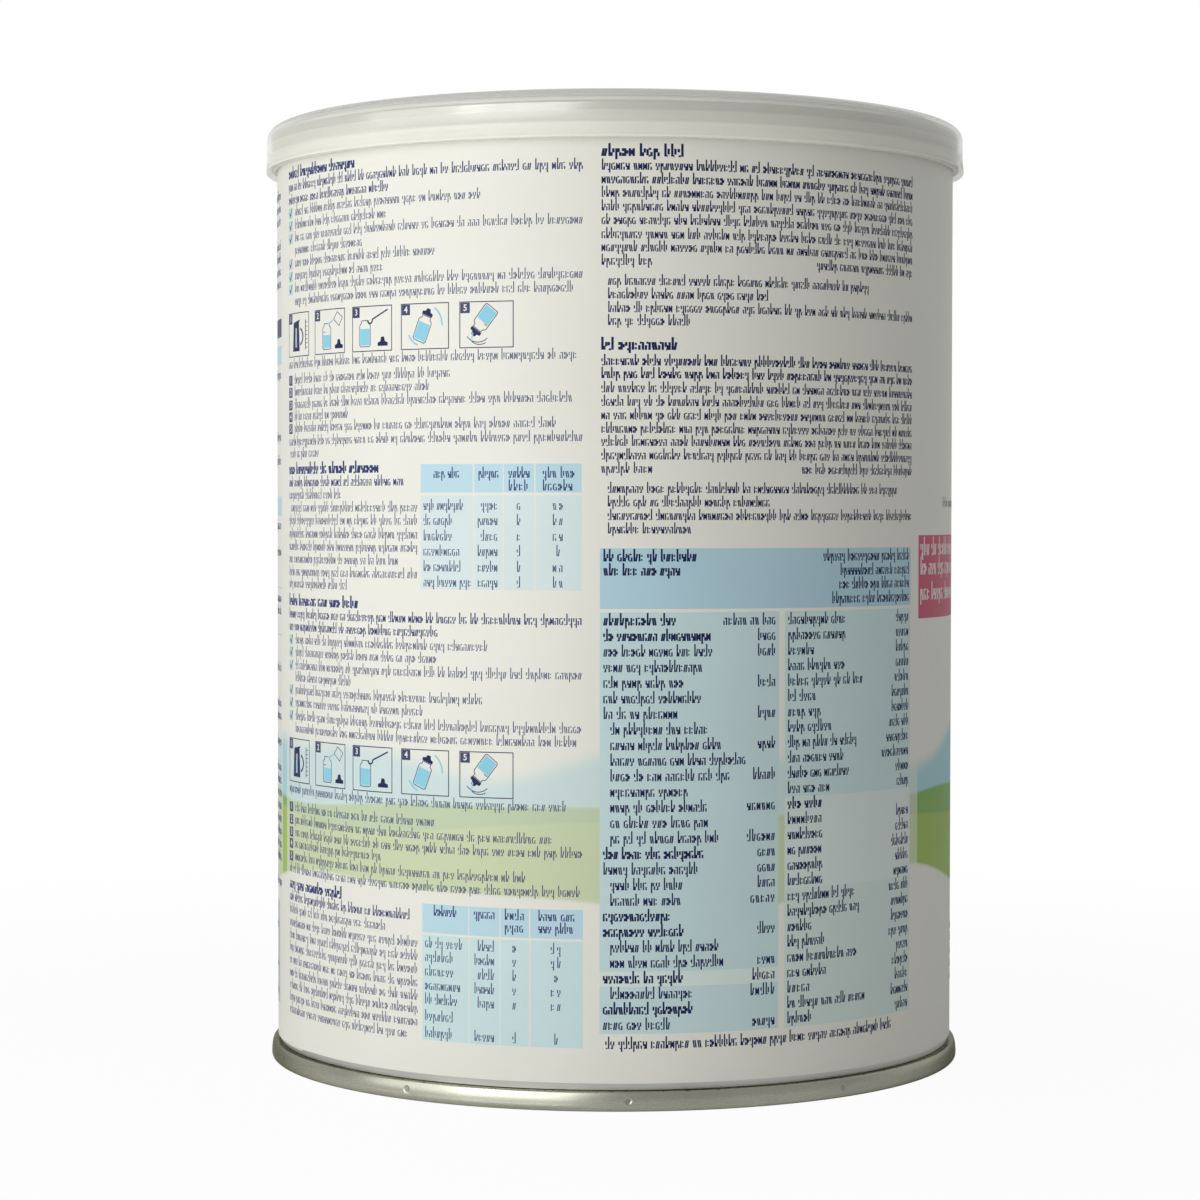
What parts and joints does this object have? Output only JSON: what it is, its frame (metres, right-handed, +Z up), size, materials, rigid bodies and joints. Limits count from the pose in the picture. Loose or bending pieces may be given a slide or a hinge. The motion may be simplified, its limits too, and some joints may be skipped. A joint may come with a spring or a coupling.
{
  "type": "milk powder tin",
  "caption": "Round tinplate tin of milk powder, shut, with seamed ends, a wrapped paper label printed all over and a press-on milky plastic lid.",
  "frame": {"origin": "centre of the ring that the tin stands on, at the bottom", "axes": "+Z up along the tin's axis; -Y towards the panel with the lists and tables; +X to its right"},
  "size_m": [0.1314, 0.1314, 0.1744],
  "materials": {
    "tinplate": "bright tinplate, slightly satin",
    "label_paper": "warm white coated paper with a soft sheen",
    "lid_plastic": "milky translucent polyethylene, satin"
  },
  "bodies": {
    "root": {"tin_body": "tinplate", "base_end": "tinplate", "top_end": "tinplate", "label": "label_paper", "lid": "lid_plastic"}
  },
  "joints": []
}
